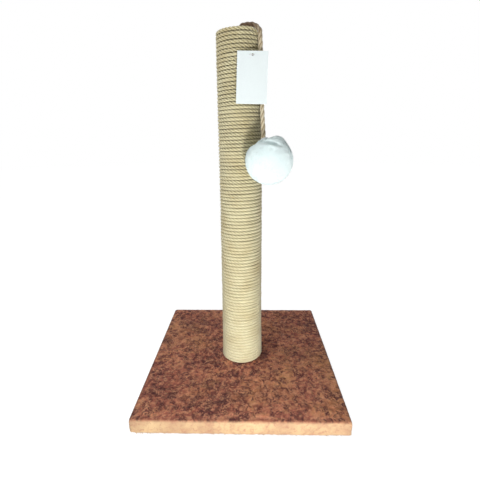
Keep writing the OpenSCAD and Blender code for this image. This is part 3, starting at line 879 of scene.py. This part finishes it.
def rope_finish(name, groove, middle, crest, streak, seam=None, painted_arch_shade=None):
    """Laid natural fibre: painted shade in the grooves between strands, pale crests, fibres that run along
    the strands.

    The fibres are noise on (lays along the rope, share of the way round), stretched along it. seam is painted
    shade between one turn of a winding and the next, where one turn lies on the next, deepest near the top;
    painted_arch_shade is painted shade over the first part of the line, where it goes over the rim, from
    full at 1.7 lays to none at 2.8. The lowest 30 cm are painted paler: painted light, brighter near the
    floor.
    """
    material, body, add = shader(name, 0.82, sheen=0.25, Sheen_Roughness=0.6, Specular_IOR_Level=0.25)
    uv = add("UVMap", uv_map="UVMap").outputs["UV"]
    place = add("TexCoord").outputs["Object"]
    stretched = add("Mapping", {"Vector": uv}, in_Scale=(5.0, 90.0, 1.0)).outputs["Vector"]
    fibre = grain(add, stretched, 1.0, 3.0, in_Roughness=0.6)
    height = add("SeparateXYZ", {"Vector": place}).outputs["Z"]
    # Painted shade: the colour runs from the dark groove colour between strands to the pale crest colour on
    # them.
    colour = ramp(add, attribute(add, "crest"), ((0.0, groove), (0.35, middle), (1.0, crest)))
    colour = mix(add, ramp_value(add, fibre, 0.35, 0.75), colour, streak, "MULTIPLY")
    # Painted light: towards the floor the colour drifts to the crest colour, paler in the lowest 30 cm.
    colour = mix(add, ramp_value(add, height, 0.03, 0.30, 0.10, 0.0), colour, crest)
    patch = grain(add, place, 26.0, 2.0)
    colour = mix(add, ramp_value(add, patch, 0.40, 0.75), colour, ROPE_PATCH, "MULTIPLY")
    # Painted shade between turns of the winding, where one turn lies on the next, stronger towards the top.
    if seam:
        deep = ramp_value(add, attribute(add, "out"), 0.15, 0.62, 1.0, 0.0)
        amount = combine(add, "MULTIPLY", deep, ramp_value(add, height, 0.05, 0.55, 0.05, 0.58))
        colour = mix(add, amount, colour, seam)
    # Painted shade over the first part of the toy's rope, where it goes over the rim.
    if painted_arch_shade:
        along = add("SeparateXYZ", {"Vector": uv}).outputs["X"]
        colour = mix(add, ramp_value(add, along, 1.7, 2.8, 1.0, 0.0), colour, painted_arch_shade, "MULTIPLY")
    feed(body, "Base Color", colour)
    bump(body, add, fibre, 0.5, 0.0004)
    return material


# Colours of the base's plush: its cloud, its tufts and strokes, painted shade at its roots and bends,
# its paler sides, partly painted light
PLUSH_CLOUD = (
    (0.33, (0.15, 0.038, 0.038)), (0.44, (0.44, 0.122, 0.088)),
    (0.56, (0.67, 0.225, 0.142)), (0.67, (0.86, 0.39, 0.205)))
OCHRE, LIGHT_TUFT, DARK_TUFT = (0.76, 0.40, 0.13), (0.78, 0.38, 0.20), (0.18, 0.055, 0.045)
TAN_STROKE, DARK_STROKE = (0.96, 0.47, 0.27), (0.10, 0.027, 0.032)
# Painted shade at the roots of the pile, and over the top bend and at the foot of the sheet.
PAINTED_ROOT_SHADE, PAINTED_EDGE_SHADE = (0.13, 0.045, 0.040), (0.42, 0.36, 0.36)
# Paler colours of the sides: partly the nap's own tone, partly painted light for the strong light on the
# front.
SIDE_LOW, SIDE_HIGH = (0.56, 0.36, 0.206), (0.725, 0.515, 0.283)
SIDE_TUFT, SIDE_SPECK = (0.50, 0.275, 0.165), (0.47, 0.24, 0.15)


def plush_finish(name):
    """Mottled brown plush: tan and red-brown cloud, dark and tan squiggles where the pile parts, paler sides,
    painted shade at the roots of the pile, over the top bend and at the foot.

    A squiggle is a band about the middle level of a warped noise, so it winds like a line on a map; a second
    noise breaks it into strokes. On the sides a paler cloud with a few tufts and specks takes over; the paler
    sides are partly the nap's own tone and partly painted light, as if lit strongly from the front.
    """
    material, body, add = shader(name, 0.9, sheen=0.2, Sheen_Roughness=0.5, Specular_IOR_Level=0.15)
    place = add("TexCoord").outputs["Object"]

    def squiggles(scale, shift, warp, amount):
        moved = add("Mapping", {"Vector": place}, in_Location=shift).outputs["Vector"]
        again = add("Mapping", {"Vector": place}, in_Location=(shift[1], 5.3, shift[0])).outputs["Vector"]
        off = combine(add, "SUBTRACT", grain(add, moved, scale, 1.5, in_Distortion=warp), 0.5)
        line = ramp_value(add, combine(add, "ABSOLUTE", off), 0.0, 0.13, amount, 0.0)
        strokes = ramp_value(add, grain(add, again, scale * 1.1, 1.0), 0.42, 0.58)
        return combine(add, "MULTIPLY", line, strokes)

    cloud = grain(add, place, 17.0, 2.0, in_Distortion=0.5)
    tuft = grain(add, place, 56.0, 2.5, in_Roughness=0.55, in_Distortion=1.6)
    warm = grain(add, place, 9.0, 3.0, in_Distortion=0.6)
    speck = grain(add, place, 170.0, 2.0, in_Distortion=0.8)
    tone = ramp_value(add, attribute(add, "tone"), 0.2, 0.8, -1.0, 1.0)
    lighter = combine(add, "MAXIMUM", tone, 0.5)
    level = combine(add, "ADD", tuft, ramp_value(add, cloud, 0.35, 0.65, -0.12, 0.12))
    colour = ramp(add, level, PLUSH_CLOUD)
    colour = mix(add, ramp_value(add, warm, 0.50, 0.68, 0.0, 0.45), colour, OCHRE)
    colour = mix(add, ramp_value(add, lighter, 0.0, 1.0, 0.0, 0.3), colour, LIGHT_TUFT)
    colour = mix(add, ramp_value(add, tone, -1.0, 0.0, 0.4, 0.0), colour, DARK_TUFT)
    colour = mix(add, squiggles(118.0, (3.1, 1.7, 0.0), 1.6, 0.9), colour, TAN_STROKE)
    colour = mix(add, squiggles(86.0, (0.0, 0.0, 0.0), 1.8, 1.0), colour, DARK_STROKE)
    pale = mix(add, ramp_value(add, cloud, 0.38, 0.62), SIDE_LOW, SIDE_HIGH)
    pale = mix(add, ramp_value(add, tuft, 0.48, 0.66, 0.0, 0.5), pale, SIDE_TUFT)
    pale = mix(add, ramp_value(add, speck, 0.52, 0.68, 0.0, 0.7), pale, SIDE_SPECK)
    # The sides turn paler: partly the nap's own tone, partly painted light.
    colour = mix(add, attribute(add, "side"), colour, pale)
    # Painted shade: darker at the roots of the pile and between the tufts.
    colour = mix(add, ramp_value(add, attribute(add, "tip"), 0.0, 1.0, 0.3, 0.0), colour, PAINTED_ROOT_SHADE)
    # Painted shade over the top bend and a painted shadow at the foot.
    colour = mix(add, attribute(add, "painted_edge_shade"), colour, PAINTED_EDGE_SHADE, "MULTIPLY")
    feed(body, "Base Color", colour)
    bump(body, add, grain(add, place, 900.0, 2.0), 0.4, 0.0006)
    return material


def white_plush_finish(name):
    """White plush with a cool cast; painted shade makes it a little darker at the roots of the pile, and it
    is a little darker in a faint cloud.
    """
    material, body, add = shader(
        name, 0.85, sheen=0.1, Sheen_Roughness=0.35, Specular_IOR_Level=0.2, Diffuse_Roughness=1.0)
    place = add("TexCoord").outputs["Object"]
    root, tip, cool = (0.84, 0.925, 0.92), (0.857, 0.948, 0.943), (0.85, 0.94, 0.948)
    # Painted shade: a little darker towards the roots of the pile.
    colour = mix(add, ramp_value(add, attribute(add, "tip"), 0.0, 0.8), root, tip)
    colour = mix(add, ramp_value(add, grain(add, place, 60.0, 3.0), 0.4, 0.7, 0.0, 0.5), colour, cool)
    feed(body, "Base Color", colour)
    bump(body, add, grain(add, place, 1100.0, 2.0), 0.3, 0.0005)
    return material


def fleck_finish(name, low, high, scale, roughness, depth, stretch=(1, 1, 1), metallic=0.0, sheen=0.0):
    """Two colours mixed by noise on Object coordinates, which also moves the roughness and the bump."""
    material, body, add = shader(name, roughness, sheen=sheen, metallic=metallic)
    place = add("TexCoord").outputs["Object"]
    stretched = add("Mapping", {"Vector": place}, in_Scale=stretch).outputs["Vector"]
    fleck = grain(add, stretched, scale, 5.0, in_Roughness=0.65)
    feed(body, "Base Color", mix(add, ramp_value(add, fleck, 0.35, 0.65), low, high))
    rough = ramp_value(add, fleck, 0.3, 0.7, roughness - 0.08, min(roughness + 0.08, 1.0))
    feed(body, "Roughness", rough)
    bump(body, add, fleck, 0.35, depth)
    return material


def chipboard_finish(name):
    """Pressed chips: cells of several browns, some dark, with a rough sanded face."""
    material, body, add = shader(name, 0.8, Specular_IOR_Level=0.3)
    place = add("TexCoord").outputs["Object"]
    cells = add("TexVoronoi", {"Vector": place}, in_Scale=260.0, in_Randomness=1.0)
    value = add("SeparateColor", {"Color": cells.outputs["Color"]}).outputs["Red"]
    colour = ramp(add, value, (
        (0.0, (0.30, 0.19, 0.10)), (0.3, (0.52, 0.37, 0.22)),
        (0.7, (0.66, 0.50, 0.32)), (1.0, (0.76, 0.62, 0.43))))
    feed(body, "Base Color", colour)
    bump(body, add, value, 0.3, 0.0003)
    return material


def tube_paper_finish(name):
    """Brown paper wound in plies: fibres on noise, and rings about the tube's axis as the plies' edges."""
    material, body, add = shader(name, 0.78, Specular_IOR_Level=0.3)
    place = add("TexCoord").outputs["Object"]
    fibre = grain(add, place, 420.0, 4.0)
    plies = add("TexWave", {"Vector": place}, in_Scale=90.0, in_Distortion=3.0, in_Detail=2.0,
                wave_type="RINGS", rings_direction="Z").outputs["Fac"]
    dark, light, seam = (0.40, 0.27, 0.15), (0.56, 0.40, 0.24), (0.28, 0.18, 0.10)
    colour = mix(add, ramp_value(add, fibre, 0.3, 0.7), dark, light)
    colour = mix(add, ramp_value(add, plies, 0.7, 1.0, 0.0, 0.35), colour, seam)
    feed(body, "Base Color", colour)
    bump(body, add, fibre, 0.3, 0.0002)
    return material


def nylon_finish(name):
    """Clear moulded nylon, slightly milky."""
    material, body, add = shader(name, 0.25, Transmission_Weight=0.1, IOR=1.5)
    place = add("TexCoord").outputs["Object"]
    haze = ramp_value(add, grain(add, place, 700.0, 2.0), 0.3, 0.7)
    feed(body, "Base Color", mix(add, haze, (0.86, 0.90, 0.93), (0.95, 0.97, 0.98)))
    return material


def dress(piece, material):
    """Puts one material in every slot of a piece."""
    slots = piece.data.materials
    if not len(slots):
        slots.append(material)
    for index in range(len(slots)):
        slots[index] = material


# groove is painted shade between strands; seam is painted shade between the turns of the winding.
sisal = rope_finish(
    "sisal_rope", groove=(0.275, 0.233, 0.117), middle=(0.58, 0.52, 0.303), crest=(0.84, 0.79, 0.535),
    streak=(0.80, 0.765, 0.67), seam=(0.145, 0.12, 0.057))
# painted_arch_shade: painted shade where the toy's rope goes over the rim.
toy_fibre = rope_finish(
    "toy_rope", groove=(0.25, 0.17, 0.10), middle=(0.55, 0.46, 0.30), crest=(0.80, 0.73, 0.55),
    streak=(0.80, 0.74, 0.64), painted_arch_shade=(0.25, 0.18, 0.135))
brown_plush = plush_finish("base_plush")
white_plush = white_plush_finish("ball_plush")
# Darker and paler colour, flecks to the metre, roughness, depth of the bump in metres
hair = fleck_finish("sisal_hair", (0.62, 0.52, 0.30), (0.86, 0.78, 0.55), 60.0, 0.7, 0.0001, sheen=0.2)
fluff = fleck_finish("ball_filling", (0.80, 0.80, 0.79), (0.93, 0.93, 0.92), 300.0, 0.9, 0.0004, sheen=0.4)
cotton = fleck_finish("neck_thread", (0.74, 0.76, 0.78), (0.90, 0.92, 0.93), 900.0, 0.8, 0.0001, sheen=0.2)
card = fleck_finish("tag_card", (0.885, 0.965, 0.965), (0.905, 0.985, 0.985), 500.0, 0.42, 0.00004)
zinc = fleck_finish("zinc_plate", (0.52, 0.54, 0.56), (0.68, 0.69, 0.70), 180.0, 0.34, 0.00005, metallic=1.0)
wire = fleck_finish(
    "bright_wire", (0.58, 0.59, 0.60), (0.72, 0.72, 0.73), 400.0, 0.3, 0.00004,
    stretch=(1, 1, 0.3), metallic=1.0)
plug_wood = fleck_finish(
    "plug_wood", (0.50, 0.35, 0.20), (0.74, 0.58, 0.38), 70.0, 0.62, 0.0002, stretch=(1, 9, 1))
chips = chipboard_finish("panel_board")
paper = tube_paper_finish("tube_paper")
nylon = nylon_finish("pin_nylon")

for piece, finish in (
        (toy_upper, toy_fibre), (toy_lower, toy_fibre), (head_knot, toy_fibre), (ball_knot, toy_fibre),
        (turns_lower, sisal), (turns_upper, sisal), (stray, hair), (base_cloth, brown_plush),
        (pile_one, brown_plush), (pile_two, brown_plush), (ball_cloth, white_plush), (ball_pile, white_plush),
        (collar, white_plush), (filling, fluff), (thread, cotton)):
    dress(piece, finish)
for node, finish in (
        ("base_board", chips), ("hem_staples", wire), ("post_bolt", zinc), ("bolt_washer", zinc),
        ("tee_nut", zinc), ("core_tube", paper), ("foot_plug", plug_wood), ("head_plug", plug_wood),
        ("plug_brads", wire), ("rope_end_nails", wire), ("hang_tag", card), ("tag_pin", nylon)):
    dress(frame["nodes"][node], finish)


# Floor, lamps and world

FLOOR_R, FLOOR_SIDES = 6, 96
WORLD_LIGHT = 0.265


def floor():
    """A pale disc of floor 0.3 mm below the base, white to camera rays but for the object's soft shadow."""
    t = np.linspace(0, 2 * np.pi, FLOOR_SIDES, endpoint=False)
    p = np.vstack((FLOOR_R * level_direction(t), [[0, 0, 0]]))
    ring = np.arange(FLOOR_SIDES)
    piece = make_mesh("floor", p - np.array((0, 0, 0.0003)), fan(FLOOR_SIDES, ring, np.roll(ring, -1)))
    material, body, add = shader("floor_white", 0.9, Specular_IOR_Level=0.0)
    feed(body, "Base Color", (0.86, 0.86, 0.86, 1))
    seen = add("LightPath").outputs
    rays = combine(add, "MAXIMUM", seen["Is Camera Ray"], seen["Is Glossy Ray"])
    rays = combine(add, "MAXIMUM", rays, seen["Is Transmission Ray"])
    glow = add("Emission", in_Color=(1, 1, 1, 1), in_Strength=1.2)
    share = combine(add, "MULTIPLY", rays, 0.8)
    blend = add("MixShader", {0: share, 1: body.outputs[0], 2: glow.outputs[0]})
    feed(material.node_tree.nodes["Material Output"], "Surface", blend.outputs[0])
    dress(piece, material)


def lamp(name, place, target, size, power):
    """A square area lamp that points from its place at the target."""
    data = bpy.data.lights.new(name, "AREA")
    data.size = size
    data.energy = power
    piece = bpy.data.objects.new(name, data)
    bpy.context.scene.collection.objects.link(piece)
    away = unit(np.array(place, float) - np.array(target, float))
    side = unit(np.cross((0, 0, 1.0), away))
    top = np.cross(away, side)
    piece.matrix_world = placing(side, top, away, place)


def world():
    """Even white surroundings, white to the camera and in gloss."""
    surroundings = bpy.data.worlds.new("studio")
    bpy.context.scene.world = surroundings
    surroundings.use_nodes = True
    add = node_maker(surroundings.node_tree)
    back = surroundings.node_tree.nodes["Background"]
    seen = add("LightPath").outputs
    direct = combine(add, "MAXIMUM", seen["Is Camera Ray"], seen["Is Glossy Ray"])
    feed(back, "Color", (1, 1, 1, 1))
    feed(back, "Strength", ramp_value(add, direct, 0.0, 1.0, WORLD_LIGHT, 1.0))


floor()
world()
lamp("key_low_front", (0.10, -0.69, 0.05), target=(0.0, 0.0, 0.28), size=0.13, power=4.0)
lamp("fill_left_front", (-0.65, -0.95, 0.8), target=(0.0, 0.0, 0.32), size=0.8, power=4.25)
lamp("top_left", (-0.45, 0.0, 1.3), target=(0.0, 0.0, 0.2), size=0.4, power=2.85)
bpy.context.scene.view_settings.view_transform = "Standard"
